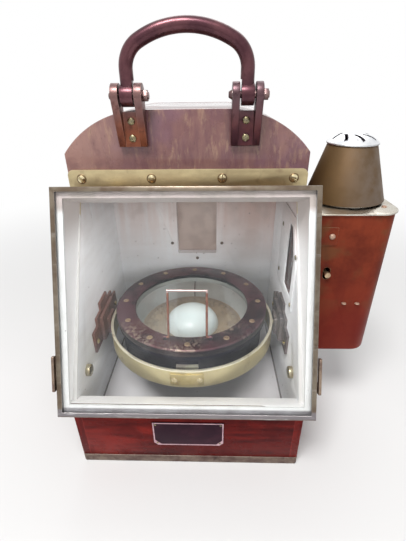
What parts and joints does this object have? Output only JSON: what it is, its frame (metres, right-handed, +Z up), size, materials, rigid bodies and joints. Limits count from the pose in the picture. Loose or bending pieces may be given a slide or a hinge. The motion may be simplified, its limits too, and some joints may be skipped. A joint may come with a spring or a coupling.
{
  "type": "binnacle compass",
  "caption": "Wooden boat binnacle with a slanted hinged window, gimballed liquid compass, swinging handle, side catches and a lift-off oil lamp housing.",
  "frame": {"origin": "centre of the case's underside, on the surface it stands on", "axes": "+X to the right as seen from the window side, towards the lamp; +Y to the back; +Z up"},
  "size_m": [0.339, 0.2525, 0.4291],
  "materials": {
    "varnished_wood": "gloss",
    "faded_wood": "gloss",
    "inner_wood": "painted white",
    "strip_brass": "aged",
    "dark_bronze": "dark patina",
    "copper_bronze": "worn",
    "screw_brass": "worn bright",
    "yellow_brass": "satin",
    "bowl_black": "black lacquer",
    "ballast_metal": "raw",
    "clear_glass": "polished",
    "bead_grey": "matte",
    "card_tan": "printed",
    "float_enamel": "enamel",
    "lamp_paint": "red-brown paint",
    "wick_cotton": "woven"
  },
  "bodies": {
    "case": {"base_plate": "strip_brass", "bottom_board": "inner_wood", "floor_board": "inner_wood", "side_board_left": "varnished_wood", "side_board_right": "varnished_wood", "front_board": "varnished_wood", "upper_front_board": "faded_wood", "back_board": "varnished_wood", "roof_board": "varnished_wood", "rear_port_plate": "yellow_brass", "rear_port_bolts": "screw_brass", "light_pane": "clear_glass", "light_pane_frame": "yellow_brass", "nameplate": "yellow_brass", "hood_shell": "strip_brass", "hood_flange": "strip_brass", "hood_screws": "screw_brass", "hood_hinges": "strip_brass", "catch_bolts": "strip_brass", "handle_bracket_left": "copper_bronze", "handle_bracket_right": "dark_bronze", "bracket_screws": "screw_brass", "handle_bolts": "dark_bronze", "gimbal_bracket_right": "dark_bronze", "gimbal_bracket_left": "dark_bronze", "gimbal_bracket_screws": "screw_brass", "lamp_rails": "yellow_brass"},
    "window": {"window_frame": "strip_brass", "window_glass": "clear_glass", "glazing_bead": "bead_grey", "window_hinge_leaves": "strip_brass"},
    "left_catch": {"catch_left": "dark_bronze"},
    "right_catch": {"catch_right": "dark_bronze"},
    "handle": {"carrying_handle": "dark_bronze"},
    "gimbal": {"gimbal_ring": "yellow_brass", "pivot_cover_plates": "yellow_brass", "gimbal_pivots": "yellow_brass"},
    "bowl": {"compass_bowl": "bowl_black", "bowl_ballast": "ballast_metal", "cover_glass": "clear_glass", "bezel_ring": "dark_bronze", "bezel_screws": "screw_brass", "pivot_post": "yellow_brass", "lubber_line": "bowl_black"},
    "card": {"compass_card": "card_tan", "card_float": "float_enamel", "jewel_cap": "yellow_brass", "card_magnets": "ballast_metal"},
    "sight": {"sight_frame": "copper_bronze"},
    "lamp": {"lamp_slide_plate": "yellow_brass", "lamp_housing": "lamp_paint", "lamp_top_plate": "yellow_brass", "lamp_rivets": "screw_brass", "oil_font": "yellow_brass", "lamp_burner": "yellow_brass"},
    "chimney": {"chimney_cone": "yellow_brass", "chimney_cap": "yellow_brass"},
    "wick_knob": {"wick_spindle": "yellow_brass"},
    "wick": {"lamp_wick": "wick_cotton"}
  },
  "joints": [
    {"name": "handle_swing", "type": "hinge", "parent": "case", "child": "handle", "pos_m": [0.0035, -0.017, 0.3716], "axis": [1, 0, 0], "range_deg": [-90, 160]},
    {"name": "window_open", "type": "hinge", "parent": "case", "child": "window", "pos_m": [0, -0.03685, 0.29085], "axis": [-1, 0, 0], "range_deg": [0, 100]},
    {"name": "left_catch_turn", "type": "hinge", "parent": "case", "child": "left_catch", "pos_m": [-0.1275, -0.07909, 0.1044], "axis": [1, 0, 0], "range_deg": [0, 60]},
    {"name": "right_catch_turn", "type": "hinge", "parent": "case", "child": "right_catch", "pos_m": [0.1275, -0.07909, 0.1044], "axis": [1, 0, 0], "range_deg": [0, 60]},
    {"name": "ring_tilt", "type": "hinge", "parent": "case", "child": "gimbal", "pos_m": [0, -0.002, 0.1145], "axis": [1, 0, 0], "range_deg": [-30, 30]},
    {"name": "bowl_tilt", "type": "hinge", "parent": "gimbal", "child": "bowl", "pos_m": [0, -0.002, 0.1145], "axis": [0, 1, 0], "range_deg": [-30, 30]},
    {"name": "card_spin", "type": "hinge", "parent": "bowl", "child": "card", "pos_m": [0, -0.002, 0.112], "axis": [0, 0, 1], "continuous": true},
    {"name": "sight_fold", "type": "hinge", "parent": "bowl", "child": "sight", "pos_m": [0, -0.075, 0.148], "axis": [-1, 0, 0], "range_deg": [0, 68]},
    {"name": "lamp_lift", "type": "slide", "parent": "case", "child": "lamp", "axis": [0, 0, 1], "range_m": [0, 0.17]},
    {"name": "chimney_lift", "type": "slide", "parent": "lamp", "child": "chimney", "axis": [0, 0, 1], "range_m": [0, 0.04]},
    {"name": "wick_turn", "type": "hinge", "parent": "lamp", "child": "wick_knob", "pos_m": [0.1435, -0.03, 0.206], "axis": [0, 1, 0], "range_deg": [-180, 180]},
    {"name": "wick_rise", "type": "slide", "parent": "lamp", "child": "wick", "axis": [0, 0, 1], "range_m": [-0.00628, 0.00628]}
  ],
  "couplings": [
    {"joint": "wick_turn", "follows": "wick_rise", "rad_per_m": 500}
  ]
}
